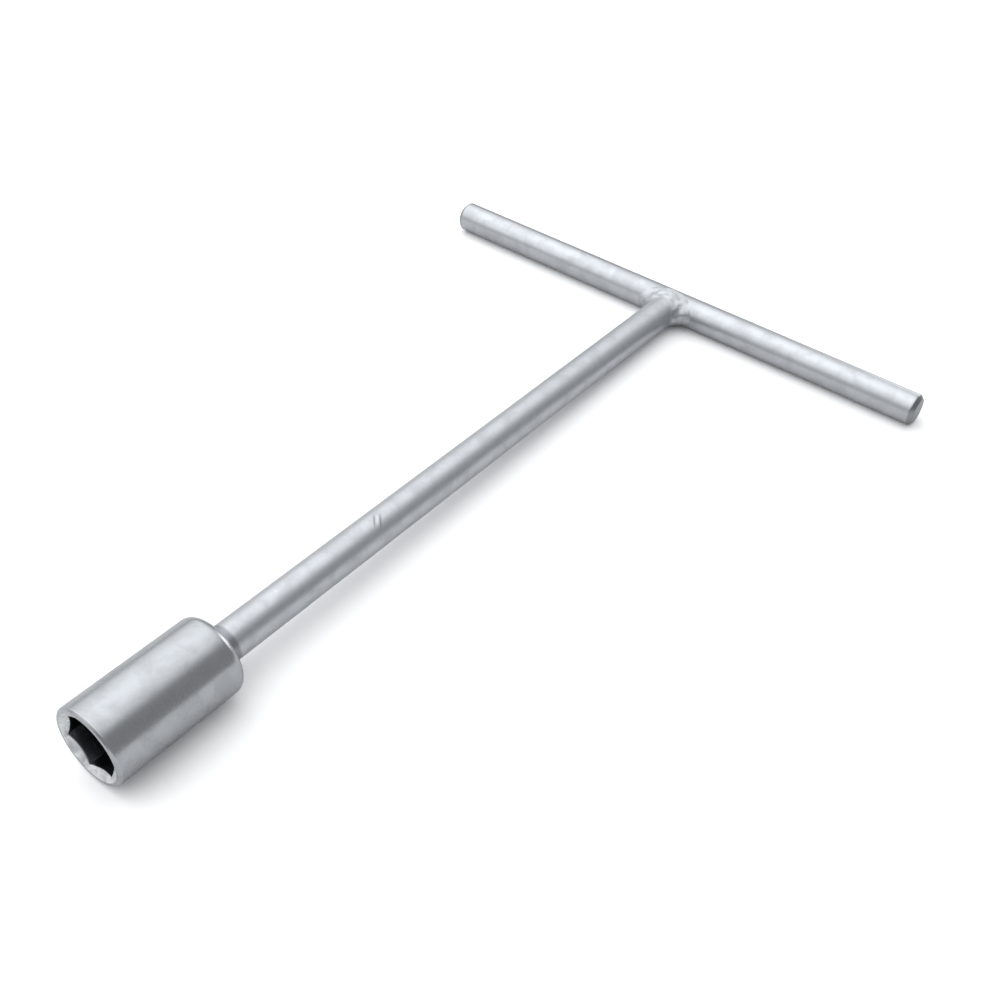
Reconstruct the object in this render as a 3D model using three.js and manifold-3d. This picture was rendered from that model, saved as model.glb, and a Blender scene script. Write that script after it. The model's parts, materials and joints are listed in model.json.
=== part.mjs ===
// T-handle socket wrench: a turned hexagon socket on one end of a round shaft, and a round
// crossbar welded across the other end. Nothing on it moves.
//
// Millimetres, +Z up. The wrench lies on a flat surface at z = 0, on the underside of its
// crossbar and the back edge of its socket. +X runs from the crossbar to the socket's mouth
// and +Y along the crossbar. The origin is under the middle of the whole wrench.

import * as THREE from 'three';
import { mergeVertices } from 'three/addons/utils/BufferGeometryUtils.js';
import Module from 'manifold-3d';

const wasm = await Module();
wasm.setup();

// Driving dimensions
const ROD_DIAMETER = 12; // the round bar that shaft and crossbar are both cut from
const OVERALL_LENGTH = 295; // far side of the crossbar to the socket's mouth
const CROSSBAR_LENGTH = 212;
const SOCKET_DIAMETER = 25.5;
const SOCKET_LENGTH = 44.5;
const HEX_ACROSS_FLATS = 17.2; // takes a 17 mm nut
const HEX_DEPTH = 20;
const HEX_TURN = THREE.MathUtils.degToRad(15.5); // from +Y to the nearest hexagon corner

// Edges
const CROSSBAR_CHAMFER = 1;
const SHAFT_END_CHAMFER = 0.8;
const SOCKET_BACK_ROUND = 3;
const MOUTH_CHAMFER = 0.65;
const LEAD_IN_DIAMETER = 22.4; // where the countersink meets the flat rim
const LEAD_IN_HALF_ANGLE = THREE.MathUtils.degToRad(60);

// Inside the socket
const BOLT_BORE_DIAMETER = 15.5; // room for a bolt's end behind the nut
const SHAFT_SEAT_DEPTH = 16; // how far the shaft goes into the socket's back

// Welds
const FIT_GAP = 0.3; // kept between pieces that touch
const ROOT_FACE_RADIUS = 3.2; // flat left on the shaft's end, inside its weld bevel
const BEVEL_LENGTH = 5;
const CROSSBAR_WELD_WIDTH = 20;
const CROSSBAR_WELD_STRAIGHT = 4.5; // how far the bead keeps its full width
const CROSSBAR_WELD_CROWN = 0.3; // how far it stands above the rods
const CROSSBAR_WELD_RELIEF = 0.1; // how far it stays inside them underneath
const SOCKET_WELD_LEG = 1.4;

// Smoothness
const ROD_FACETS = 48;
const SOCKET_FACETS = 72;
const ARC_DIVISIONS = 4;
const OVERCUT = 1; // how far a cutter passes the face it opens
const WELD_TOLERANCE = 1e-4;

const ROD_RADIUS = ROD_DIAMETER / 2;
const SOCKET_RADIUS = SOCKET_DIAMETER / 2;
const HALF_CROSSBAR = CROSSBAR_LENGTH / 2;
const MOUTH_STATION = OVERALL_LENGTH - ROD_RADIUS; // from the crossbar's axis along the shaft
const SOCKET_BACK_STATION = MOUTH_STATION - SOCKET_LENGTH;
const SHAFT_ROOT_STATION = ROD_RADIUS + FIT_GAP;
const BEVEL_END_STATION = SHAFT_ROOT_STATION + BEVEL_LENGTH;
const SHAFT_TIP_STATION = SOCKET_BACK_STATION + SHAFT_SEAT_DEPTH;

const plating = {
  rod: { color: 0xc6c9cc, roughness: 0.34, metalness: 1 },
  socket: { color: 0xbdc1c5, roughness: 0.32, metalness: 1 },
  bead: { color: 0xb4b7ba, roughness: 0.42, metalness: 1 },
};

function solid(geometry) {
  geometry.deleteAttribute('normal');
  geometry.deleteAttribute('uv');
  const welded = mergeVertices(geometry, WELD_TOLERANCE);
  const corners = welded.index.array;
  const triangles = [];
  for (let i = 0; i < corners.length; i += 3) {
    const [a, b, c] = corners.slice(i, i + 3);
    if (a !== b && b !== c && c !== a) triangles.push(a, b, c);
  }
  return new wasm.Manifold(new wasm.Mesh({
    numProp: 3,
    vertProperties: new Float32Array(welded.attributes.position.array),
    triVerts: new Uint32Array(triangles),
  }));
}

function piece(name, manifold, look) {
  const { vertProperties, triVerts } = manifold.getMesh();
  const geometry = new THREE.BufferGeometry();
  geometry.setAttribute('position', new THREE.BufferAttribute(vertProperties, 3));
  geometry.setIndex(new THREE.BufferAttribute(triVerts, 1));
  geometry.computeVertexNormals();
  const mesh = new THREE.Mesh(geometry, new THREE.MeshStandardMaterial(look));
  mesh.name = name;
  return mesh;
}

// A profile of (radius, station) points turned about the shaft's axis, +X.
function turned(points, facets) {
  return new THREE.LatheGeometry(points, facets).rotateZ(-Math.PI / 2);
}

function profile(...pairs) {
  return pairs.map(([radius, station]) => new THREE.Vector2(radius, station));
}

function bore(diameter, from, to) {
  const radius = diameter / 2;
  return solid(turned(profile([0, from], [radius, from], [radius, to], [0, to]), SOCKET_FACETS));
}

// Round bar with both ends chamfered, across the tool along Y.
function crossbarSolid() {
  const shoulder = HALF_CROSSBAR - CROSSBAR_CHAMFER;
  const face = ROD_RADIUS - CROSSBAR_CHAMFER;
  const points = profile(
    [0, -HALF_CROSSBAR],
    [face, -HALF_CROSSBAR],
    [ROD_RADIUS, -shoulder],
    [ROD_RADIUS, shoulder],
    [face, HALF_CROSSBAR],
    [0, HALF_CROSSBAR],
  );
  return solid(new THREE.LatheGeometry(points, ROD_FACETS));
}

// The shaft's outline, grown by a gap: bevelled for welding at the crossbar, chamfered in the socket.
function shaftSolid(gap = 0) {
  return solid(turned(profile(
    [0, SHAFT_ROOT_STATION - gap],
    [ROOT_FACE_RADIUS + gap, SHAFT_ROOT_STATION - gap],
    [ROD_RADIUS + gap, BEVEL_END_STATION],
    [ROD_RADIUS + gap, SHAFT_TIP_STATION - SHAFT_END_CHAMFER],
    [ROD_RADIUS - SHAFT_END_CHAMFER + gap, SHAFT_TIP_STATION],
    [0, SHAFT_TIP_STATION],
  ), ROD_FACETS));
}

// Fillet bead round the shaft's bevelled end, trimmed level with the rods above and below.
function crossbarWeldSolid() {
  const halfWidth = CROSSBAR_WELD_WIDTH / 2;
  const toe = ROD_RADIUS + FIT_GAP;
  const flare = new THREE.Path();
  flare.moveTo(0, OVERCUT);
  flare.lineTo(halfWidth, OVERCUT);
  flare.lineTo(halfWidth, CROSSBAR_WELD_STRAIGHT);
  flare.quadraticCurveTo(toe + FIT_GAP, ROD_RADIUS + OVERCUT, toe, BEVEL_END_STATION);
  flare.lineTo(0, BEVEL_END_STATION);
  const bead = solid(turned(flare.getPoints(2 * ARC_DIVISIONS), ROD_FACETS));
  const top = ROD_RADIUS + CROSSBAR_WELD_CROWN;
  const bottom = -ROD_RADIUS + CROSSBAR_WELD_RELIEF;
  const slab = new THREE.BoxGeometry(4 * ROD_DIAMETER, 2 * CROSSBAR_WELD_WIDTH, top - bottom);
  slab.translate(0, 0, (top + bottom) / 2);
  const grownRadius = ROD_RADIUS + FIT_GAP;
  const grownBar = new THREE.CylinderGeometry(grownRadius, grownRadius, CROSSBAR_LENGTH, ROD_FACETS);
  return bead.intersect(solid(slab)).subtract(solid(grownBar)).subtract(shaftSolid(FIT_GAP));
}

// Small fillet ring where the shaft enters the socket's back.
function socketWeldSolid() {
  const inner = ROD_RADIUS + FIT_GAP;
  const back = SOCKET_BACK_STATION - FIT_GAP;
  return solid(turned(profile(
    [inner, back],
    [inner, back - SOCKET_WELD_LEG],
    [inner + SOCKET_WELD_LEG, back],
    [inner, back],
  ), ROD_FACETS));
}

function socketBlank() {
  const back = SOCKET_BACK_STATION;
  const roundCentre = SOCKET_RADIUS - SOCKET_BACK_ROUND;
  const outline = new THREE.Path();
  outline.moveTo(0, back);
  outline.lineTo(roundCentre, back);
  outline.absarc(roundCentre, back + SOCKET_BACK_ROUND, SOCKET_BACK_ROUND, -Math.PI / 2, 0, false);
  outline.lineTo(SOCKET_RADIUS, MOUTH_STATION - MOUTH_CHAMFER);
  outline.lineTo(SOCKET_RADIUS - MOUTH_CHAMFER, MOUTH_STATION);
  outline.lineTo(0, MOUTH_STATION);
  return solid(turned(outline.getPoints(ARC_DIVISIONS), SOCKET_FACETS));
}

function hexagonCutter() {
  const cornerRadius = HEX_ACROSS_FLATS / 2 / Math.cos(Math.PI / 6);
  const hexagon = new THREE.Shape();
  for (let corner = 0; corner < 6; corner += 1) {
    const angle = HEX_TURN + corner * Math.PI / 3;
    const y = cornerRadius * Math.cos(angle);
    const z = cornerRadius * Math.sin(angle);
    if (corner === 0) hexagon.moveTo(y, z);
    else hexagon.lineTo(y, z);
  }
  const prism = new THREE.ExtrudeGeometry(hexagon, { depth: HEX_DEPTH + OVERCUT, bevelEnabled: false });
  const outlineAcrossTool = new THREE.Matrix4().makeBasis(
    new THREE.Vector3(0, 1, 0),
    new THREE.Vector3(0, 0, 1),
    new THREE.Vector3(1, 0, 0),
  );
  prism.applyMatrix4(outlineAcrossTool).translate(MOUTH_STATION - HEX_DEPTH, 0, 0);
  return solid(prism);
}

// Shallow countersink that guides a nut into the hexagon.
function leadInCutter() {
  const slope = Math.tan(LEAD_IN_HALF_ANGLE);
  const mouthRadius = LEAD_IN_DIAMETER / 2;
  return solid(turned(profile(
    [0, MOUTH_STATION - mouthRadius / slope],
    [mouthRadius + OVERCUT * slope, MOUTH_STATION + OVERCUT],
    [0, MOUTH_STATION + OVERCUT],
  ), SOCKET_FACETS));
}

function socketSolid() {
  const shaftHole = bore(ROD_DIAMETER + 2 * FIT_GAP, SOCKET_BACK_STATION - OVERCUT, SHAFT_TIP_STATION + OVERCUT);
  const boltBore = bore(BOLT_BORE_DIAMETER, SHAFT_TIP_STATION, MOUTH_STATION - HEX_DEPTH + OVERCUT);
  return socketBlank()
    .subtract(shaftHole)
    .subtract(boltBore)
    .subtract(hexagonCutter())
    .subtract(leadInCutter());
}

// Lying flat, the shaft rises towards the socket until the crossbar and the round of the
// socket's back edge both touch the surface.
function restingTilt() {
  const along = SOCKET_BACK_STATION + SOCKET_BACK_ROUND;
  const across = SOCKET_RADIUS - SOCKET_BACK_ROUND;
  const reach = Math.hypot(along, across);
  return Math.atan2(across, along) + Math.asin((SOCKET_BACK_ROUND - ROD_RADIUS) / reach);
}

const tilt = restingTilt();
const rimRadius = SOCKET_RADIUS - MOUTH_CHAMFER;
const foremost = MOUTH_STATION * Math.cos(tilt) + rimRadius * Math.sin(tilt);

const wrench = new THREE.Group();
wrench.rotation.y = -tilt;
wrench.position.set((ROD_RADIUS - foremost) / 2, 0, ROD_RADIUS);
wrench.add(
  piece('crossbar', crossbarSolid(), plating.rod),
  piece('crossbar_weld', crossbarWeldSolid(), plating.bead),
  piece('shaft', shaftSolid(), plating.rod),
  piece('socket_weld', socketWeldSolid(), plating.bead),
  piece('socket', socketSolid(), plating.socket),
);

const model = new THREE.Group();
model.add(wrench);

export default model;
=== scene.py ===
"""The finished look of a T-handle socket wrench.

Two round bars are welded into a T, a turned socket is welded on the far end of the shaft, and
the whole tool is satin plated. Every piece is modelled along the tool's own axes, X from the
crossbar to the socket's mouth and Y along the crossbar, and is then laid where the frame has it.
"""

import json
import math

import bmesh
import bpy
from bpy.props import FloatProperty, FloatVectorProperty, PointerProperty
from bpy.types import Operator, Panel, PropertyGroup
from mathutils import Matrix, Quaternion, Vector, noise


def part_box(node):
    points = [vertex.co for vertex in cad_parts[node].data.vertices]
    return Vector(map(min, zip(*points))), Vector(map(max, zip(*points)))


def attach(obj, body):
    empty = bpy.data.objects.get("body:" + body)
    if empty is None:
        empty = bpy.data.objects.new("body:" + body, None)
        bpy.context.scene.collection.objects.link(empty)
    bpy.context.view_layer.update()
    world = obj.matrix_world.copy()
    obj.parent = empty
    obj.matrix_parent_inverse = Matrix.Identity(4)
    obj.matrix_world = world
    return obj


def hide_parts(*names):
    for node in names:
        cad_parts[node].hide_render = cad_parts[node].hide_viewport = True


bl_info = {
    "name": "T-handle socket wrench",
    "version": (1, 0, 0),
    "blender": (4, 5, 0),
    "location": "3D View > Sidebar > Wrench",
    "description": "Builds a plated T-handle socket wrench and a plain studio around it",
    "category": "Object",
}

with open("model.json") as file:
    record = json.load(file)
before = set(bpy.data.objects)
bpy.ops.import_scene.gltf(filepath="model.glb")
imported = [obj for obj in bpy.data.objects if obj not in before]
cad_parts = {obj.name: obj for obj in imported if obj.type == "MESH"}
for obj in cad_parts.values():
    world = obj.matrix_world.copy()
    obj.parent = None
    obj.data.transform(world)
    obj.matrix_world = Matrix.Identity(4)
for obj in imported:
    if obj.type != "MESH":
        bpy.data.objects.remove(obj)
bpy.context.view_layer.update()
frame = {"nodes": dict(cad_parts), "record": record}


# Measures taken from the frame

def mount(name):
    """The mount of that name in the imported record."""
    return next(entry for entry in frame["record"]["mounts"] if entry["name"] == name)


def tool_axes():
    """The tool's own axes: X along the shaft and Y along the crossbar, from the crossbar's middle."""
    low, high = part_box("crossbar")
    along = Vector(mount("mouth_rim")["axis"]).normalized()
    across = Vector(mount("crossbar_end_right")["axis"]).normalized()
    axes = Matrix((along, across, along.cross(across))).transposed()
    return Matrix.Translation((low + high) / 2) @ axes.to_4x4()


def tool_box(node):
    """Lowest and highest corner of a CAD node along the tool's own axes."""
    to_tool = TOOL.inverted()
    corners = [to_tool @ vertex.co for vertex in frame["nodes"][node].data.vertices]
    return Vector(map(min, zip(*corners))), Vector(map(max, zip(*corners)))


MM = 0.001
TOOL = tool_axes()
CROSSBAR_LOW, CROSSBAR_HIGH = tool_box("crossbar")
SHAFT_LOW, SHAFT_HIGH = tool_box("shaft")
SOCKET_LOW, SOCKET_HIGH = tool_box("socket")
WELD_LOW, WELD_HIGH = tool_box("crossbar_weld")
FLAT_CENTRE = TOOL.inverted() @ Vector(mount("hexagon_flat")["pos_m"])
SIDES = 6  # of the hexagon
ROUND_STEPS = 144  # round the tool, a whole number on each of the hexagon's sides
ALONG_STEP = 2.5 * MM  # between the rings of points along the bars and the socket, roughly
BACK_STEPS = 12  # round the socket's back edge
COLLAR_STEPS = 8  # across the small bead behind the socket
BISECTIONS = 22  # that find the weld's skin along a ray
EGG_MIDDLE = Vector((5.6, 0, 0)) * MM  # of the egg that closes the weld inside the bars
EGG_REACH = Vector((8.2, 12.5, 9)) * MM
GRAIN_ALONG = (40, 2500, 2500)  # noise scales that draw marks out along X
GRAIN_ACROSS = (2500, 40, 2500)  # and along Y
GRAIN_TURNED = (2600, 70, 70)  # and round X
GRAIN_CAST = (600, 600, 600)  # and the same every way


# What a user would change

def length(name, description, default):
    """A length property, in metres."""
    return FloatProperty(name=name, description=description, default=default, unit="LENGTH",
                         subtype="DISTANCE", precision=5)


def share(name, description, default, most=1.0):
    """A plain number from nothing to a most."""
    return FloatProperty(name=name, description=description, default=default, min=0.0, max=most)


def colour(name, description, default):
    """A linear colour."""
    return FloatVectorProperty(name=name, description=description, default=default, size=3,
                               subtype="COLOR", min=0.0, max=1.0)


def rotation(name, description, degrees):
    """An angle property, given in degrees."""
    return FloatProperty(name=name, description=description, default=math.radians(degrees),
                         unit="ROTATION", subtype="ANGLE")


class RodShape(PropertyGroup):
    """The round bar that the crossbar and the shaft are cut from."""

    radius: length("Bar radius", "Half the thickness of both bars", CROSSBAR_HIGH.z)
    reach: length("Crossbar reach", "Half the crossbar's length", CROSSBAR_HIGH.y)
    chamfer: length("End chamfer", "Chamfer on the crossbar's ends", 1.4 * MM)
    tip_chamfer: length("Tip chamfer", "Chamfer on the shaft's two hidden ends", 0.8 * MM)
    edge_round: length("Edge softness", "How far each corner is rounded off", 0.3 * MM)
    root: length("Shaft root", "Where the shaft starts, from the crossbar's axis", SHAFT_LOW.x)
    tip: length("Shaft tip", "Where the shaft ends inside the socket", SHAFT_HIGH.x)
    unevenness: length("Unevenness", "Depth of the drawn bar's slow hollows", 0.035 * MM)
    waves: length("Waves", "Length of the drawn bar's slow hollows", 26 * MM)
    nick: length("Nick", "Where the nick is along the shaft", 178.9 * MM)
    fleck: length("Fleck", "Where the small bright fleck is along the shaft", 221 * MM)
    # The dulled ring is painted shade on the shaft next to the socket's back.
    shade_ring_reach: length("Heat reach", "How far the dulled ring goes from the socket", 4.6 * MM)


class SocketShape(PropertyGroup):
    """The turned and broached socket."""

    radius: length("Radius", "Outer radius", SOCKET_HIGH.z)
    back: length("Back", "Where the socket's back face is along the shaft", SOCKET_LOW.x)
    mouth: length("Mouth", "Where the socket's rim is along the shaft", SOCKET_HIGH.x)
    back_round: length("Back round", "Radius on the back's outer edge", 3.0 * MM)
    mouth_chamfer: length("Mouth chamfer", "Chamfer on the rim's outer edge", 0.65 * MM)
    lead_in: length("Lead-in radius", "Where the countersink meets the rim", 11.2 * MM)
    lead_in_angle: rotation("Lead-in angle", "Countersink's slope from the shaft's axis", 60)
    half_flats: length("Half across flats", "From the axis to a flat", FLAT_CENTRE.yz.length)
    hexagon_depth: length("Hexagon depth", "How deep the nut goes in", 20 * MM)
    bolt_bore: length("Bolt bore radius", "Room for a bolt's end behind the nut", 7.75 * MM)
    edge_round: length("Edge softness", "How far each corner is rounded off", 0.22 * MM)
    lip: length("Lip", "Softness of the edges round the hexagon and the rim", 0.12 * MM)
    seat_gap: length("Seat gap", "Clearance round the shaft in its seat", 0.02 * MM)
    seat_overlap: length("Seat overlap", "How far the shaft's tip stands in the bore", 0.1 * MM)


class WeldShape(PropertyGroup):
    """The two beads that hold the tool together."""

    fillet: length("Fillet", "How far the bead spreads from the corner", 7.2 * MM)
    crown: length("Crown", "How far the bead stands above the bars", 0.35 * MM)
    reach: length("Reach", "How far the bead goes each way along the crossbar", WELD_HIGH.y)
    lumps: length("Lumps", "Height of the bead's broad lumps", 0.65 * MM)
    lump_spacing: length("Lump spacing", "Distance between the broad lumps", 2.9 * MM)
    ripples: length("Ripples", "Height of the bead's fine ripples", 0.12 * MM)
    ripple_spacing: length("Ripple spacing", "Distance between the fine ripples", 1.2 * MM)
    collar: length("Collar", "Leg of the small bead behind the socket", 1.4 * MM)
    collar_ripples: length("Collar ripples", "Height of the small bead's ripples", 0.072 * MM)
    collar_spacing: length("Collar spacing", "Distance between its ripples", 1.6 * MM)
    collar_overlap: length("Collar overlap", "How far it runs into shaft and socket", 0.1 * MM)
    # The dark seam is painted shade where the bead meets the bars.
    seam: share("Seam", "How much of the bead's spread its dark seam takes", 0.3)
    sink: length("Sink", "How far the bead's rim lies under the bars' skin", 0.06 * MM)
    thinning: share("Thinning", "How much narrower the fillet is above and below", 0.5)


class PlatingLook(PropertyGroup):
    """The satin plating, where it is dull or rubbed at its edges, and where shade and highlights are
    painted into its colour.
    """

    bright: colour("Bright", "Clear plating", (0.61, 0.632, 0.662))
    dull: colour("Dull", "Blotches where the plating is hazy", (0.54, 0.559, 0.584))
    # This colour is also the painted highlight down the nick's middle and the small bright fleck.
    wear_and_highlight: colour("Worn", "Edges polished by handling", (0.76, 0.772, 0.785))
    # This colour is painted shade inside the socket's hexagon and bolt bore, and on the shaft's tip within
    # them.
    painted_recess_shade: colour("Recess", "Inside the socket, where little plating reaches", (0.09, 0.1, 0.105))
    # This colour is painted shade: on the nick's two sides, along the weld's seam and in the ring on the
    # shaft by the socket.
    painted_shade: colour("Scuff", "Sides of the nick, the weld's seam and the dulled ring", (0.36, 0.37, 0.4))
    cut: colour("Cut", "The crossbar's sawn end faces", (0.36, 0.37, 0.39))
    # This colour is partly bared, polished steel and partly a painted highlight: near white and half matt,
    # so the countersink's crescents shine.
    lead_in: colour("Lead-in", "The countersink, bared and polished by the nuts", (0.95, 0.97, 0.97))
    lead_in_highlight_metal: share("Lead-in metal", "How metallic the countersink looks", 0.35)
    # These tones make lighter copies of the plating on the crossbar and the shaft and a darker copy on the
    # socket: painted light and shade.
    crossbar_painted_light: share("Crossbar tone", "How bright the crossbar's plating is", 1.03, 2.0)
    shaft_painted_light: share("Shaft tone", "How bright the shaft's plating is", 1.08, 2.0)
    socket_painted_shade: share("Socket tone", "How bright the socket's plating is", 0.9, 2.0)
    crossbar_roughness: share("Crossbar roughness", "How satin the crossbar is", 0.27)
    shaft_roughness: share("Shaft roughness", "How satin the shaft is", 0.35)
    socket_roughness: share("Socket roughness", "How satin the socket is", 0.2)
    weld_roughness: share("Weld roughness", "How satin the beads are", 0.36)
    haze: share("Haze", "How much rougher the blotches are", 0.08)
    rod_grain: length("Bar grain", "Depth of the marks along the bars", 0.0015 * MM)
    socket_grain: length("Socket grain", "Depth of the turning marks on the socket", 0.002 * MM)
    weld_grain: length("Weld grain", "Depth of the crossbar bead's fine pits", 0.01 * MM)
    collar_grain: length("Collar grain", "Depth of the small bead's fine pits", 0.008 * MM)


class StudioSetup(PropertyGroup):
    """Camera, floor and light."""

    lens: FloatProperty(name="Lens", description="Focal length in millimetres", default=44.85)
    distance: length("Distance", "From the camera to the point it looks at", 419.66 * MM)
    elevation: rotation("Elevation", "Camera's height above the floor", 42.35)
    azimuth: rotation("Azimuth", "From the mouth's side towards the crossbar's right end", 35.42)
    roll: rotation("Roll", "Camera's own turn", 3.23)
    aim_along: length("Aim along", "Point looked at, from the origin along X", -9.78 * MM)
    aim_across: length("Aim across", "Point looked at, from the origin along Y", 14.6 * MM)
    floor: share("Floor", "How pale the floor looks", 1.42, 2.0)
    floor_glow: share("Floor glow", "How pale the floor is in reflections", 0.78)
    overhead: share("Overhead light", "Brightness of the broad light", 1.15, 10.0)
    core: share("Core", "How much brighter the light's middle is", 0.45, 10.0)
    behind: share("Light behind", "Brightness of the low light behind the crossbar", 2.2, 10.0)
    front: share("Light in front", "Brightness of the low light in front of the mouth", 0.3, 10.0)
    side: share("Side light", "Brightness low down", 0.3, 10.0)
    lit_edge: share("Lit edge", "Cosine from the light's middle to where it is fully lit", 0.76)
    dim_edge: share("Dim edge", "Cosine from the light's middle to where its edge fades out", 0.34)


# Mesh work

def softened(corners, size, steps=4):
    """An outline whose inner corners are rounded by size, with a close point on each side of the round."""
    outline = [corners[0]]
    for before, corner, after in zip(corners, corners[1:], corners[2:]):
        start = corner + (before - corner).normalized() * size
        end = corner + (after - corner).normalized() * size
        outline.append(start + (start - corner) / 2)
        for step in range(steps + 1):
            t = step / steps
            outline.append(start.lerp(corner, t).lerp(corner.lerp(end, t), t))
        outline.append(end + (end - corner) / 2)
    outline.append(corners[-1])
    return outline


def spun(bm, outline, closed=False):
    """Turns an outline of (station, radius) points about the X axis into a closed skin.

    Each point keeps its number in the outline in the layer that is given back.
    """
    ring = bm.verts.layers.int.new("ring")
    points = [bm.verts.new((station, radius, 0)) for station, radius in outline]
    for number, point in enumerate(points):
        point[ring] = number
    lines = [bm.edges.new(pair) for pair in zip(points, points[1:])]
    if closed:
        lines.append(bm.edges.new((points[-1], points[0])))
    bmesh.ops.spin(bm, geom=points + lines, cent=(0, 0, 0), axis=(1, 0, 0), angle=math.tau,
                   steps=ROUND_STEPS, use_merge=True, use_duplicate=False)
    bmesh.ops.remove_doubles(bm, verts=bm.verts, dist=MM / 1000)
    bmesh.ops.recalc_face_normals(bm, faces=bm.faces)
    return ring


def station_steps(start, end):
    """Evenly spaced stations between start and end, both left out."""
    count = max(1, round((end - start) / ALONG_STEP))
    return [start + (end - start) * step / count for step in range(1, count)]


def ringed(corners, size):
    """A bar's softened outline, with rings of points between its two shoulders."""
    outline = softened(corners, size)
    middle = len(outline) // 2
    left, right = corners[2], corners[3]
    between = [Vector((station, left.y)) for station in station_steps(left.x, right.x)]
    return outline[:middle] + between + outline[middle:]


def make_uneven(bm, depth, wavelength, seed):
    """Hollows the skin by slow waves, half as long across the bar as along it."""
    for vertex in bm.verts:
        station, y, z = vertex.co
        place = Vector((station / wavelength, y / wavelength * 2, z / wavelength * 2))
        hollow = depth * (noise.noise(place + Vector((seed, 0, 0))) + 1) / 2
        radius = math.hypot(y, z)
        if radius > hollow:
            vertex.co.yz = vertex.co.yz * (1 - hollow / radius)


def mark_edges(bm, gentle=8, full=26):
    """Writes how much each point stands on an outer edge, for the wear to follow.

    It goes from 0 where the faces meet at the gentle angle to 1 at the full one, in degrees.
    """
    layer = bm.verts.layers.float.new("edge")
    for vertex in bm.verts:
        angles = [edge.calc_face_angle_signed(0) for edge in vertex.link_edges]
        sharpest = math.degrees(max(angles, default=0))
        vertex[layer] = min(1, max(0, (sharpest - gentle) / (full - gentle)))


def shade(bm, crease=38):
    """Smooth faces, with a hard edge wherever two faces meet at more than the crease angle."""
    for face in bm.faces:
        face.smooth = True
    for edge in bm.edges:
        edge.smooth = edge.calc_face_angle(0) < math.radians(crease)


def finish_piece(bm, name, material):
    """Lays the piece where the frame has the tool and puts it in the CAD node's place."""
    shade(bm)
    bm.transform(TOOL)
    mesh = bpy.data.meshes.new(name)
    bm.to_mesh(mesh)
    bm.free()
    mesh.materials.append(material)
    piece = bpy.data.objects.new(name, mesh)
    bpy.context.scene.collection.objects.link(piece)
    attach(piece, "root")
    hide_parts(name.removeprefix("plated_"))
    return piece


# Shader node groups

def add(tree, kind, inputs=(), **settings):
    """Adds a node, with its settings and the values of its inputs."""
    made = tree.nodes.new(kind)
    for name, value in settings.items():
        setattr(made, name, value)
    for name, value in dict(inputs).items():
        made.inputs[name].default_value = value
    return made


def group_tree(name, inputs, outputs):
    """A shader node group with those sockets, and its two end nodes."""
    tree = bpy.data.node_groups.new(name, "ShaderNodeTree")
    for label, kind, value in inputs:
        socket = tree.interface.new_socket(label, in_out="INPUT", socket_type=kind)
        socket.default_value = value
    for label, kind in outputs:
        tree.interface.new_socket(label, in_out="OUTPUT", socket_type=kind)
    return tree, tree.nodes.new("NodeGroupInput"), tree.nodes.new("NodeGroupOutput")


def spread(tree, value, low, high, start=0.0, end=1.0, shape="SMOOTHSTEP"):
    """Stretches the part of a value between low and high to run from start to end."""
    made = add(tree, "ShaderNodeMapRange", {"From Min": low, "From Max": high, "To Min": start,
                                            "To Max": end}, interpolation_type=shape)
    tree.links.new(value, made.inputs["Value"])
    return made.outputs["Result"]


def blotches_group():
    """Broad soft patches where the plating is hazier."""
    tree, inner, outer = group_tree(
        "plating_blotches",
        [("Vector", "NodeSocketVector", (0, 0, 0)), ("Scale", "NodeSocketFloat", 120.0)],
        [("Mask", "NodeSocketFloat")],
    )
    broad = add(tree, "ShaderNodeTexNoise", {"Detail": 3.0, "Roughness": 0.6, "Distortion": 0.4})
    tree.links.new(inner.outputs["Vector"], broad.inputs["Vector"])
    tree.links.new(inner.outputs["Scale"], broad.inputs["Scale"])
    tree.links.new(spread(tree, broad.outputs["Fac"], 0.38, 0.68), outer.inputs["Mask"])
    return tree


def grain_group():
    """Fine marks drawn out along one direction, and the crystals of the plating between them."""
    tree, inner, outer = group_tree(
        "plating_grain",
        [("Vector", "NodeSocketVector", (0, 0, 0)),
         ("Lines", "NodeSocketVector", (1, 1, 1)),
         ("Crystals", "NodeSocketFloat", 2200.0)],
        [("Height", "NodeSocketFloat"), ("Mask", "NodeSocketFloat")],
    )
    drawn = add(tree, "ShaderNodeVectorMath", operation="MULTIPLY")
    lines = add(tree, "ShaderNodeTexNoise", {"Scale": 1.0, "Detail": 2.0, "Roughness": 0.55})
    crystals = add(tree, "ShaderNodeTexNoise", {"Detail": 2.0, "Roughness": 0.5})
    both = add(tree, "ShaderNodeMath", operation="ADD")
    halved = add(tree, "ShaderNodeMath", {1: 0.5}, operation="MULTIPLY")
    tree.links.new(inner.outputs["Vector"], drawn.inputs[0])
    tree.links.new(inner.outputs["Lines"], drawn.inputs[1])
    tree.links.new(drawn.outputs["Vector"], lines.inputs["Vector"])
    tree.links.new(inner.outputs["Vector"], crystals.inputs["Vector"])
    tree.links.new(inner.outputs["Crystals"], crystals.inputs["Scale"])
    tree.links.new(lines.outputs["Fac"], both.inputs[0])
    tree.links.new(crystals.outputs["Fac"], both.inputs[1])
    tree.links.new(both.outputs["Value"], halved.inputs[0])
    tree.links.new(halved.outputs["Value"], outer.inputs["Height"])
    tree.links.new(spread(tree, lines.outputs["Fac"], 0.3, 0.7), outer.inputs["Mask"])
    return tree


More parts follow.
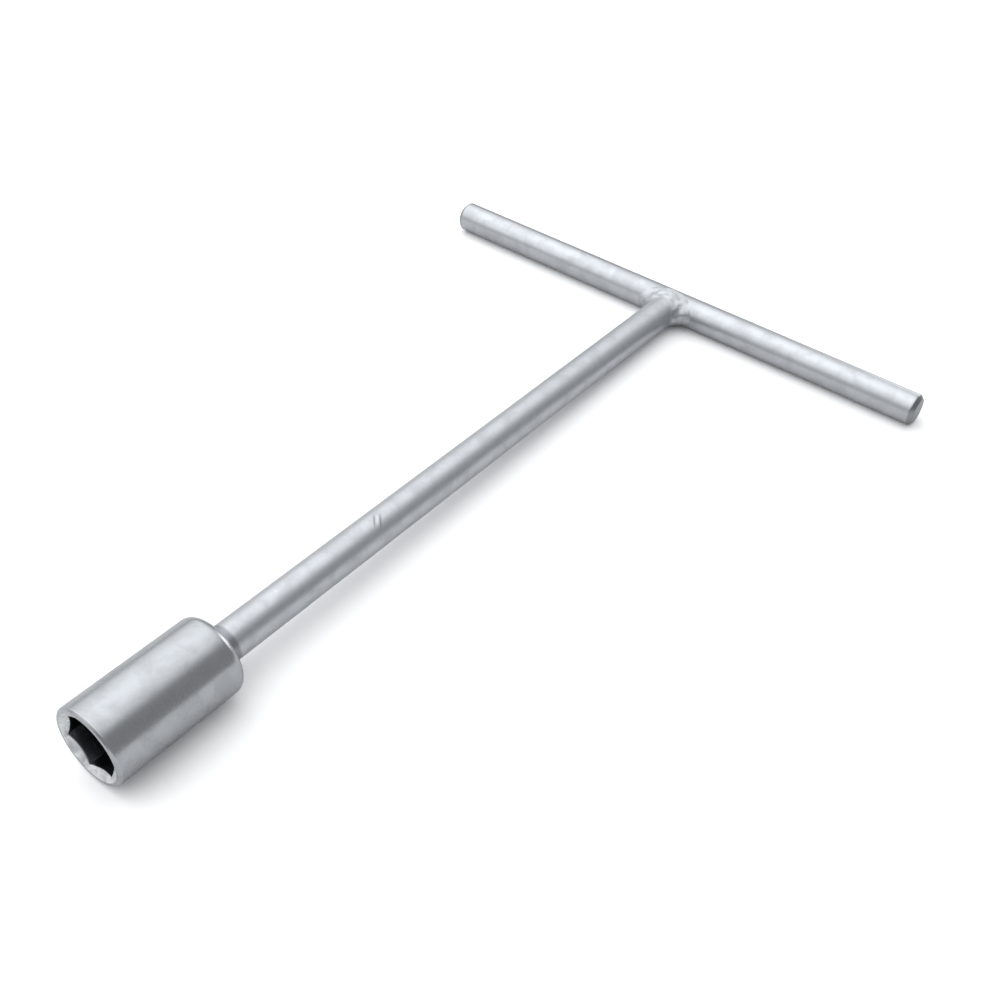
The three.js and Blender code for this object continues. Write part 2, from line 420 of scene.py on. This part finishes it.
def wear_group():
    """Edge wear that follows the marked edges and is broken up along them."""
    tree, inner, outer = group_tree(
        "edge_wear",
        [("Vector", "NodeSocketVector", (0, 0, 0)), ("Amount", "NodeSocketFloat", 0.8)],
        [("Mask", "NodeSocketFloat")],
    )
    edge = add(tree, "ShaderNodeAttribute", attribute_name="edge")
    patches = add(tree, "ShaderNodeTexNoise", {"Scale": 420.0, "Detail": 3.0})
    broken = add(tree, "ShaderNodeMath", operation="MULTIPLY")
    scaled = add(tree, "ShaderNodeMath", operation="MULTIPLY", use_clamp=True)
    tree.links.new(inner.outputs["Vector"], patches.inputs["Vector"])
    tree.links.new(edge.outputs["Fac"], broken.inputs[0])
    tree.links.new(spread(tree, patches.outputs["Fac"], 0.3, 0.6, 0.35), broken.inputs[1])
    tree.links.new(broken.outputs["Value"], scaled.inputs[0])
    tree.links.new(inner.outputs["Amount"], scaled.inputs[1])
    tree.links.new(scaled.outputs["Value"], outer.inputs["Mask"])
    return tree


def mark_group():
    """One long soft mark, its length and width given as half sizes, laid diagonally across the top."""
    tree, inner, outer = group_tree(
        "single_mark",
        [("Vector", "NodeSocketVector", (0, 0, 0)),
         ("Place", "NodeSocketVector", (0, 0, 0)),
         ("Half size", "NodeSocketVector", (MM, MM, MM))],
        [("Mask", "NodeSocketFloat")],
    )
    laid = add(tree, "ShaderNodeMapping", {"Rotation": (0, 0, math.radians(45))}, vector_type="TEXTURE")
    distance = add(tree, "ShaderNodeVectorMath", operation="LENGTH")
    tree.links.new(inner.outputs["Vector"], laid.inputs["Vector"])
    tree.links.new(inner.outputs["Place"], laid.inputs["Location"])
    tree.links.new(inner.outputs["Half size"], laid.inputs["Scale"])
    tree.links.new(laid.outputs["Vector"], distance.inputs[0])
    tree.links.new(spread(tree, distance.outputs["Value"], 1.0, 0.3), outer.inputs["Mask"])
    return tree


def shared_group(build):
    """A node group made by its function the first time that a material asks for it."""
    made = bpy.data.node_groups.get(build.__name__)
    if made is None:
        made = build()
        made.name = build.__name__
    return made


def place_group(tree, build, inputs=(), vector=None):
    """Places a shared group in a material, reading the tool's own coordinates."""
    made = add(tree, "ShaderNodeGroup", node_tree=shared_group(build))
    for name, value in dict(inputs).items():
        made.inputs[name].default_value = value
    if vector is not None:
        tree.links.new(vector, made.inputs["Vector"])
    return made


# Materials

def tool_coordinates(tree):
    """Object coordinates turned and centred to the tool's own axes."""
    place = add(tree, "ShaderNodeTexCoord")
    laid = add(tree, "ShaderNodeMapping", {"Location": TOOL.translation,
                                           "Rotation": TOOL.to_euler()}, vector_type="TEXTURE")
    tree.links.new(place.outputs["Object"], laid.inputs["Vector"])
    return laid.outputs["Vector"]


def blend(tree, amount, below, above):
    """A colour that goes from below to above as the amount rises."""
    made = add(tree, "ShaderNodeMix", data_type="RGBA")
    tree.links.new(amount, made.inputs["Factor"])
    for socket, value in ((made.inputs["A"], below), (made.inputs["B"], above)):
        if isinstance(value, bpy.types.NodeSocket):
            tree.links.new(value, socket)
        else:
            socket.default_value = (*value, 1.0)
    return made.outputs["Result"]


def product(tree, first, second):
    """Two masks multiplied."""
    made = add(tree, "ShaderNodeMath", operation="MULTIPLY")
    tree.links.new(first, made.inputs[0])
    tree.links.new(second, made.inputs[1])
    return made.outputs["Value"]


def weighted_sum(tree, start, terms):
    """A number that starts at start and adds each mask times its weight."""
    total = None
    for mask, weight in terms:
        made = add(tree, "ShaderNodeMath", {1: weight, 2: start}, operation="MULTIPLY_ADD")
        tree.links.new(mask, made.inputs[0])
        if total is not None:
            tree.links.new(total, made.inputs[2])
        total = made.outputs["Value"]
    return total


def plating(name, roughness, lines, blotch_scale, wear, grain_depth, tone=1.0, zones=None, marks=()):
    """Satin plating whose grain runs as the lines say, with zones of their own and single marks. The tone,
    the zones and the marks paint light and shade into its colour.
    """
    look = bpy.context.scene.wrench_plating
    material = bpy.data.materials.new(name)
    material.use_nodes = True
    tree = material.node_tree
    skin = tree.nodes["Principled BSDF"]
    skin.inputs["Metallic"].default_value = 1.0
    where = tool_coordinates(tree)
    blotches = place_group(tree, blotches_group, {"Scale": blotch_scale}, where)
    grain = place_group(tree, grain_group, {"Lines": lines}, where)
    edges = place_group(tree, wear_group, {"Amount": wear}, where)
    # The tone gives a lighter or darker copy of the plating here: painted light or shade.
    tint = blend(tree, blotches.outputs["Mask"], [part * tone for part in look.bright],
                 [part * tone for part in look.dull])
    tint = blend(tree, edges.outputs["Mask"], tint, look.wear_and_highlight)
    rough = weighted_sum(tree, roughness, [
        (blotches.outputs["Mask"], look.haze),
        (grain.outputs["Mask"], look.haze / 2),
        (edges.outputs["Mask"], -look.haze),
    ])
    # The marks paint the nick's highlight and its shaded sides, and the fleck.
    for place, size, stain in marks:
        mark = place_group(tree, mark_group, {"Place": place, "Half size": size}, where)
        tint = blend(tree, mark.outputs["Mask"], tint, stain)
    if zones is not None:
        parts = zones(tree, where, look)
        for mask, stain, metal in parts:
            tint = blend(tree, mask, tint, stain)
        metallic = weighted_sum(tree, 1.0, [(mask, metal - 1.0) for mask, stain, metal in parts])
        tree.links.new(metallic, skin.inputs["Metallic"])
    relief = add(tree, "ShaderNodeBump", {"Strength": 1.0, "Distance": grain_depth})
    tree.links.new(grain.outputs["Height"], relief.inputs["Height"])
    tree.links.new(tint, skin.inputs["Base Color"])
    tree.links.new(rough, skin.inputs["Roughness"])
    tree.links.new(relief.outputs["Normal"], skin.inputs["Normal"])
    return material


def socket_zones(tree, where, look):
    """Painted shade over the hexagon and bolt bore, and in front of them the countersink brightened partly
    as bared, polished steel and partly as a painted highlight.
    """
    socket = bpy.context.scene.wrench_socket
    seat = bpy.context.scene.wrench_rod.tip
    corner = socket.half_flats / math.cos(math.pi / SIDES)
    slope = math.tan(socket.lead_in_angle)
    on_cone = socket.lead_in - socket.mouth * slope
    near, off, deep = 0.1 * MM, 0.3 * MM, 0.9 * MM
    apart = add(tree, "ShaderNodeSeparateXYZ")
    radial = add(tree, "ShaderNodeCombineXYZ")
    distance = add(tree, "ShaderNodeVectorMath", operation="LENGTH")
    below_cone = add(tree, "ShaderNodeMath", {1: -slope}, operation="MULTIPLY_ADD")
    tree.links.new(where, apart.inputs["Vector"])
    tree.links.new(apart.outputs["Y"], radial.inputs["Y"])
    tree.links.new(apart.outputs["Z"], radial.inputs["Z"])
    tree.links.new(radial.outputs["Vector"], distance.inputs[0])
    tree.links.new(apart.outputs["X"], below_cone.inputs[0])
    tree.links.new(distance.outputs["Value"], below_cone.inputs[2])
    depth = below_cone.outputs["Value"]
    radius = distance.outputs["Value"]
    # Painted shade over the hexagon and the bolt bore.
    inside = product(tree, spread(tree, depth, on_cone + near, on_cone + deep),
                     spread(tree, radius, corner + off, corner + near))
    inside = product(tree, inside, spread(tree, apart.outputs["X"], seat - 2 * MM, seat - MM))
    # The countersink's painted highlight, which also stands for bared, polished steel.
    lead_in = product(tree, spread(tree, depth, on_cone + off, on_cone + near),
                      spread(tree, radius, socket.lead_in, socket.lead_in - near))
    patches = place_group(tree, blotches_group, {"Scale": 330}, where)
    polish_and_highlight = blend(tree, patches.outputs["Mask"], look.lead_in, look.dull)
    return [(lead_in, polish_and_highlight, look.lead_in_highlight_metal), (inside, look.painted_recess_shade, 1.0)]


def crossbar_zones(tree, where, look):
    """The two sawn end faces, a little darker than the bar."""
    rod = bpy.context.scene.wrench_rod
    apart = add(tree, "ShaderNodeSeparateXYZ")
    either = add(tree, "ShaderNodeMath", operation="ABSOLUTE")
    tree.links.new(where, apart.inputs["Vector"])
    tree.links.new(apart.outputs["Y"], either.inputs[0])
    from_middle = either.outputs["Value"]
    ends = spread(tree, from_middle, rod.reach - 1.7 * rod.chamfer, rod.reach - 0.9 * rod.chamfer)
    return [(ends, look.cut, 1.0)]


def shaft_zones(tree, where, look):
    """Painted shade on the shaft's tip, as dark as the bore round it, and a ring of painted shade on the
    shaft just behind the socket.
    """
    rod = bpy.context.scene.wrench_rod
    shade_ring_start = bpy.context.scene.wrench_socket.back - rod.shade_ring_reach
    apart = add(tree, "ShaderNodeSeparateXYZ")
    tree.links.new(where, apart.inputs["Vector"])
    # Painted shade on the shaft's tip.
    tip = spread(tree, apart.outputs["X"], rod.tip - 2 * rod.chamfer, rod.tip - rod.chamfer)
    # A ring of painted shade on the shaft next to the socket's back.
    shade_ring = spread(tree, apart.outputs["X"], shade_ring_start, shade_ring_start + 1.2 * MM)
    return [(shade_ring, look.painted_shade, 1.0), (tip, look.painted_recess_shade, 1.0)]


def weld_zones(tree, where, look):
    """Painted shade along the seam where the bead meets the bars, broken up along its length."""
    seam = add(tree, "ShaderNodeAttribute", attribute_name="seam")
    patches = place_group(tree, blotches_group, {"Scale": 260}, where)
    broken = product(tree, seam.outputs["Fac"], patches.outputs["Mask"])
    return [(broken, look.painted_shade, 1.0)]


# The pieces

class WRENCH_OT_crossbar(Operator):
    """Round handle bar with chamfered ends, across the tool"""

    bl_idname = "wrench.crossbar"
    bl_label = "Crossbar"

    def execute(self, context):
        rod = context.scene.wrench_rod
        shoulder = rod.reach - rod.chamfer
        face = rod.radius - rod.chamfer
        corners = [
            Vector((-rod.reach, 0)),
            Vector((-rod.reach, face)),
            Vector((-shoulder, rod.radius)),
            Vector((shoulder, rod.radius)),
            Vector((rod.reach, face)),
            Vector((rod.reach, 0)),
        ]
        bm = bmesh.new()
        spun(bm, ringed(corners, rod.edge_round))
        make_uneven(bm, rod.unevenness, rod.waves, 3)
        bmesh.ops.rotate(bm, verts=bm.verts, cent=(0, 0, 0), matrix=Matrix.Rotation(math.pi / 2, 3, "Z"))
        mark_edges(bm)
        look = context.scene.wrench_plating
        material = plating("crossbar_plating", look.crossbar_roughness, GRAIN_ACROSS,
                           blotch_scale=150, wear=0.7, grain_depth=look.rod_grain,
                           tone=look.crossbar_painted_light, zones=crossbar_zones)
        finish_piece(bm, "plated_crossbar", material)
        return {"FINISHED"}


class WRENCH_OT_shaft(Operator):
    """Round shaft from the crossbar's weld into the socket"""

    bl_idname = "wrench.shaft"
    bl_label = "Shaft"

    def execute(self, context):
        rod = context.scene.wrench_rod
        chamfer = rod.tip_chamfer
        corners = [
            Vector((rod.root - chamfer, 0)),
            Vector((rod.root - chamfer, rod.radius - chamfer)),
            Vector((rod.root, rod.radius)),
            Vector((rod.tip - chamfer, rod.radius)),
            Vector((rod.tip, rod.radius - chamfer)),
            Vector((rod.tip, 0)),
        ]
        bm = bmesh.new()
        spun(bm, ringed(corners, rod.edge_round / 2))
        make_uneven(bm, rod.unevenness, rod.waves, 11)
        mark_edges(bm)
        look = context.scene.wrench_plating
        material = plating("shaft_plating", look.shaft_roughness, GRAIN_ALONG,
                           blotch_scale=150, wear=0.7, grain_depth=look.rod_grain,
                           tone=look.shaft_painted_light, zones=shaft_zones, marks=self.painted_nick_and_fleck(rod, look))
        finish_piece(bm, "plated_shaft", material)
        return {"FINISHED"}

    def painted_nick_and_fleck(self, rod, look):
        """A nick across the shaft's top, painted as a bright stripe of highlight between two stripes of
        painted shade, and a small bright fleck by the socket.
        """
        middle = Vector((rod.nick, 1.8 * MM, 5.75 * MM))
        sideways = Vector((-0.7, 0.7, 0)) * MM
        stripe = Vector((3.6, 0.45, 3.0)) * MM
        fleck = Vector((0.9, 0.5, 0.5)) * MM
        return [
            # Painted shade, painted highlight and painted shade again, for the nick's two walls and its
            # middle.
            (middle - sideways, stripe, look.painted_shade),
            (middle, stripe, look.wear_and_highlight),
            (middle + sideways, stripe, look.painted_shade),
            (Vector((rod.fleck, 0.2 * MM, rod.radius)), fleck, look.wear_and_highlight),
        ]


class WRENCH_OT_socket(Operator):
    """Turned socket with a rounded back, a countersunk mouth and a broached hexagon"""

    bl_idname = "wrench.socket"
    bl_label = "Socket"

    def execute(self, context):
        rod = context.scene.wrench_rod
        socket = context.scene.wrench_socket
        hexagon_floor = socket.mouth - socket.hexagon_depth
        bottom = rod.tip - socket.seat_overlap
        hole = rod.radius + socket.seat_gap
        outside = softened([
            Vector((socket.mouth, socket.lead_in)),
            Vector((socket.mouth, socket.radius - socket.mouth_chamfer)),
            Vector((socket.mouth - socket.mouth_chamfer, socket.radius)),
            Vector((socket.back + socket.back_round, socket.radius)),
        ], socket.edge_round)
        centre = Vector((socket.back + socket.back_round, socket.radius - socket.back_round))
        shoulder = []
        for step in range(BACK_STEPS + 1):
            angle = math.pi / 2 * (1 + step / BACK_STEPS)
            shoulder.append(centre + socket.back_round * Vector((math.cos(angle), math.sin(angle))))
        side = [Vector((station, socket.radius)) for station in
                reversed(station_steps(socket.back + socket.back_round, socket.mouth - 2 * MM))]
        inside = [
            Vector((socket.back, socket.radius - socket.back_round - 0.5 * MM)),
            Vector((socket.back, hole)),
            Vector((bottom, hole)),
            Vector((bottom, socket.bolt_bore)),
            Vector((hexagon_floor, socket.bolt_bore)),
            Vector((hexagon_floor, socket.half_flats)),
            Vector((socket.mouth - MM, socket.half_flats)),
        ]
        bm = bmesh.new()
        ring = spun(bm, outside[:-1] + side + shoulder + inside, closed=True)
        self.broach(bm, ring, socket)
        bmesh.ops.recalc_face_normals(bm, faces=bm.faces)
        mark_edges(bm)
        look = context.scene.wrench_plating
        material = plating("socket_plating", look.socket_roughness, GRAIN_TURNED,
                           blotch_scale=140, wear=0.8, grain_depth=look.socket_grain,
                           tone=look.socket_painted_shade, zones=socket_zones)
        finish_piece(bm, "plated_socket", material)
        return {"FINISHED"}

    def broach(self, bm, ring, socket):
        """Moves the inner wall out to the hexagon, its upper end up onto the countersink's cone."""
        flat_angle = math.atan2(FLAT_CENTRE.z, FLAT_CENTRE.y)
        half_side = math.pi / SIDES
        bmesh.ops.rotate(bm, verts=bm.verts, cent=(0, 0, 0),
                         matrix=Matrix.Rotation(flat_angle + half_side, 3, "X"))
        last = max(vertex[ring] for vertex in bm.verts)
        slope = math.tan(socket.lead_in_angle)
        for vertex in bm.verts:
            if vertex[ring] < last - 1:
                continue
            angle = math.atan2(vertex.co.z, vertex.co.y)
            from_flat = (angle - flat_angle + half_side) % (2 * half_side) - half_side
            radius = socket.half_flats / math.cos(from_flat)
            vertex.co.y = radius * math.cos(angle)
            vertex.co.z = radius * math.sin(angle)
            if vertex[ring] == last:
                vertex.co.x = socket.mouth - (socket.lead_in - radius) / slope
        lip = [edge for edge in bm.edges if all(v[ring] == last for v in edge.verts)]
        rim = [edge for edge in bm.edges if all(v[ring] == 0 for v in edge.verts)]
        bmesh.ops.bevel(bm, geom=lip + rim, offset=socket.lip, offset_type="OFFSET", affect="EDGES",
                        segments=2, profile=0.5, material=-1)


class WRENCH_OT_crossbar_weld(Operator):
    """Lumpy fillet bead round the shaft's root, where it is welded to the crossbar"""

    bl_idname = "wrench.crossbar_weld"
    bl_label = "Crossbar weld"

    def execute(self, context):
        rod = context.scene.wrench_rod
        weld = context.scene.wrench_weld
        heart = Vector((rod.radius, 0, 0))
        bm = bmesh.new()
        seam = bm.verts.layers.float.new("seam")
        bmesh.ops.create_icosphere(bm, subdivisions=6, radius=1.0)
        for vertex in bm.verts:
            ray = vertex.co.normalized()
            near, far = 0.0, 2 * weld.reach
            for _ in range(BISECTIONS):
                half = (near + far) / 2
                if self.depth(heart + ray * half, rod, weld)[0] < 0:
                    near = half
                else:
                    far = half
            place = heart + ray * near
            bead = self.depth(place, rod, weld)[1]
            lump = noise.noise(place / weld.lump_spacing) * weld.lumps
            ripple = noise.noise(place / weld.ripple_spacing) * weld.ripples
            vertex.co = place + ray * (lump + ripple) * bead
            # The seam layer is painted shade where the bead meets the bars.
            vertex[seam] = max(0, 1 - bead / weld.seam)
            vertex.co.z = max(vertex.co.z, WELD_LOW.z)
        bmesh.ops.recalc_face_normals(bm, faces=bm.faces)
        mark_edges(bm, gentle=30, full=60)
        look = context.scene.wrench_plating
        material = plating("weld_plating", look.weld_roughness, GRAIN_CAST, blotch_scale=300,
                           wear=0.5, grain_depth=look.weld_grain, zones=weld_zones)
        finish_piece(bm, "plated_crossbar_weld", material)
        return {"FINISHED"}

    def depth(self, place, rod, weld):
        """How far a place is outside the bead, and how much of the bead's full thickness is there.

        The bead runs the two bars together by a fillet that is thinner above and below, stands
        a crown above them, and sinks just under their skin where it ends. An egg closes it inside.
        """
        to_bar = math.hypot(place.x, place.z) - rod.radius
        to_shaft = math.hypot(place.y, place.z) - rod.radius
        level = min(1, abs(place.z) / rod.radius)
        fillet = weld.fillet * (1 - weld.thinning * level * level)
        bead = max(fillet - abs(to_bar - to_shaft), 0) / fillet
        swell = bead * bead * fillet / 4 + bead * weld.crown
        joined = min(to_bar, to_shaft) - swell + (1 - bead) * weld.sink
        from_middle = place - EGG_MIDDLE
        egg = Vector((from_middle.x / EGG_REACH.x, from_middle.y / EGG_REACH.y,
                      from_middle.z / EGG_REACH.z))
        return max(joined, (egg.length - 1) * EGG_REACH.z), bead


class WRENCH_OT_socket_weld(Operator):
    """Small bead round the shaft, behind the socket"""

    bl_idname = "wrench.socket_weld"
    bl_label = "Socket weld"

    def execute(self, context):
        rod = context.scene.wrench_rod
        socket = context.scene.wrench_socket
        weld = context.scene.wrench_weld
        inner = Vector((socket.back + weld.collar_overlap, rod.radius - weld.collar_overlap))
        start = Vector((socket.back - weld.collar, rod.radius))
        end = Vector((socket.back, rod.radius + weld.collar))
        corner = Vector((socket.back - weld.collar / 4, rod.radius + weld.collar / 4))
        curve = []
        for step in range(COLLAR_STEPS + 1):
            t = step / COLLAR_STEPS
            curve.append(start.lerp(corner, t).lerp(corner.lerp(end, t), t))
        outline = [inner, Vector((start.x, inner.y))] + curve + [Vector((inner.x, end.y))]
        bm = bmesh.new()
        spun(bm, outline, closed=True)
        for vertex in bm.verts:
            lump = noise.noise(vertex.co / weld.collar_spacing) * weld.collar_ripples
            vertex.co.yz = vertex.co.yz * (1 + lump / vertex.co.yz.length)
        mark_edges(bm, gentle=30, full=60)
        look = context.scene.wrench_plating
        material = plating("collar_plating", look.weld_roughness, GRAIN_CAST, blotch_scale=300,
                           wear=0.3, grain_depth=look.collar_grain)
        finish_piece(bm, "plated_socket_weld", material)
        return {"FINISHED"}


# The studio

class WRENCH_OT_studio(Operator):
    """Pale floor, soft light and the camera"""

    bl_idname = "wrench.studio"
    bl_label = "Studio"

    def execute(self, context):
        studio = context.scene.wrench_studio
        self.lay_floor(context, studio)
        self.light(context, studio)
        self.set_camera(context, studio)
        context.scene.view_settings.view_transform = "Standard"
        return {"FINISHED"}

    def lay_floor(self, context, studio):
        """A wide pale floor under the tool."""
        bm = bmesh.new()
        bmesh.ops.create_circle(bm, cap_ends=True, segments=96, radius=4.0)
        mesh = bpy.data.meshes.new("floor")
        bm.to_mesh(mesh)
        bm.free()
        material = bpy.data.materials.new("floor_paper")
        material.use_nodes = True
        tree = material.node_tree
        skin = tree.nodes["Principled BSDF"]
        path = add(tree, "ShaderNodeLightPath")
        tone = blend(tree, path.outputs["Is Camera Ray"], (studio.floor_glow,) * 3, (studio.floor,) * 3)
        tree.links.new(tone, skin.inputs["Base Color"])
        skin.inputs["Roughness"].default_value = 0.95
        skin.inputs["Specular IOR Level"].default_value = 0.1
        mesh.materials.append(material)
        floor = bpy.data.objects.new("floor", mesh)
        context.scene.collection.objects.link(floor)

    def light(self, context, studio):
        """A broad soft light overhead, brightest in its middle, and two low glows."""
        world = bpy.data.worlds.new("soft_overhead")
        world.use_nodes = True
        tree = world.node_tree
        tree.nodes.clear()
        look = add(tree, "ShaderNodeTexCoord").outputs["Generated"]
        lamp = Vector((0.0, -0.45, 0.9)).normalized()
        towards_lamp = add(tree, "ShaderNodeVectorMath", {1: lamp}, operation="DOT_PRODUCT")
        tree.links.new(look, towards_lamp.inputs[0])
        nearness = towards_lamp.outputs["Value"]
        broad = spread(tree, nearness, studio.dim_edge, studio.lit_edge, studio.side, studio.overhead)
        core = spread(tree, nearness, studio.lit_edge, 1.0, 0.0, studio.core, "LINEAR")
        behind = self.low_glow(tree, look, towards=(-0.97, 0.06, 0.24), edge=0.93,
                               strength=studio.behind)
        front = self.low_glow(tree, look, towards=(0.87, -0.43, 0.25), edge=0.85,
                              strength=studio.front)
        total = weighted_sum(tree, 0.0, [(broad, 1.0), (core, 1.0), (behind, 1.0), (front, 1.0)])
        glow = add(tree, "ShaderNodeBackground", {"Color": (0.98, 0.99, 1.0, 1.0)})
        tree.links.new(total, glow.inputs["Strength"])
        plain = add(tree, "ShaderNodeBackground", {"Color": (0.97, 0.97, 0.97, 1.0), "Strength": 1.0})
        path = add(tree, "ShaderNodeLightPath")
        mix = add(tree, "ShaderNodeMixShader")
        end = add(tree, "ShaderNodeOutputWorld")
        tree.links.new(path.outputs["Is Camera Ray"], mix.inputs[0])
        tree.links.new(glow.outputs["Background"], mix.inputs[1])
        tree.links.new(plain.outputs["Background"], mix.inputs[2])
        tree.links.new(mix.outputs["Shader"], end.inputs["Surface"])
        context.scene.world = world

    def low_glow(self, tree, look, towards, edge, strength):
        """A small soft light near the horizon, that fades out where the cosine falls to the edge."""
        facing = add(tree, "ShaderNodeVectorMath", {1: Vector(towards).normalized()},
                     operation="DOT_PRODUCT")
        tree.links.new(look, facing.inputs[0])
        return spread(tree, facing.outputs["Value"], edge, 1.0, 0.0, strength, "LINEAR")

    def set_camera(self, context, studio):
        """A camera above the mouth's side, looking down along the tool."""
        camera = bpy.data.objects.new("camera", bpy.data.cameras.new("camera"))
        camera.data.lens = studio.lens
        camera.data.clip_start = 10 * MM
        level = math.cos(studio.elevation)
        back = Vector((level * math.cos(studio.azimuth), level * math.sin(studio.azimuth),
                       math.sin(studio.elevation)))
        camera.location = Vector((studio.aim_along, studio.aim_across, 0)) + back * studio.distance
        camera.rotation_mode = "QUATERNION"
        look = (-back).to_track_quat("-Z", "Y")
        camera.rotation_quaternion = look @ Quaternion((0, 0, 1), studio.roll)
        context.scene.collection.objects.link(camera)
        context.scene.camera = camera


class WRENCH_PT_sidebar(Panel):
    """Lists the pieces in the order they are built"""

    bl_label = "T-handle wrench"
    bl_space_type = "VIEW_3D"
    bl_region_type = "UI"
    bl_category = "Wrench"

    def draw(self, context):
        for operator in OPERATORS:
            self.layout.operator(operator.bl_idname)


SETTINGS = {
    "wrench_rod": RodShape,
    "wrench_socket": SocketShape,
    "wrench_weld": WeldShape,
    "wrench_plating": PlatingLook,
    "wrench_studio": StudioSetup,
}
OPERATORS = (
    WRENCH_OT_studio,
    WRENCH_OT_crossbar,
    WRENCH_OT_shaft,
    WRENCH_OT_socket,
    WRENCH_OT_crossbar_weld,
    WRENCH_OT_socket_weld,
)


def register():
    """Makes the settings, the operators and the panel known to Blender."""
    for name, group in SETTINGS.items():
        bpy.utils.register_class(group)
        setattr(bpy.types.Scene, name, PointerProperty(type=group))
    for operator in OPERATORS:
        bpy.utils.register_class(operator)
    bpy.utils.register_class(WRENCH_PT_sidebar)


def unregister():
    """Takes the panel, the operators and the settings out again."""
    bpy.utils.unregister_class(WRENCH_PT_sidebar)
    for operator in reversed(OPERATORS):
        bpy.utils.unregister_class(operator)
    for name, group in reversed(SETTINGS.items()):
        delattr(bpy.types.Scene, name)
        bpy.utils.unregister_class(group)


def main():
    register()
    bpy.ops.wrench.studio()
    bpy.ops.wrench.crossbar()
    bpy.ops.wrench.shaft()
    bpy.ops.wrench.socket()
    bpy.ops.wrench.crossbar_weld()
    bpy.ops.wrench.socket_weld()


if __name__ == "__main__":
    main()
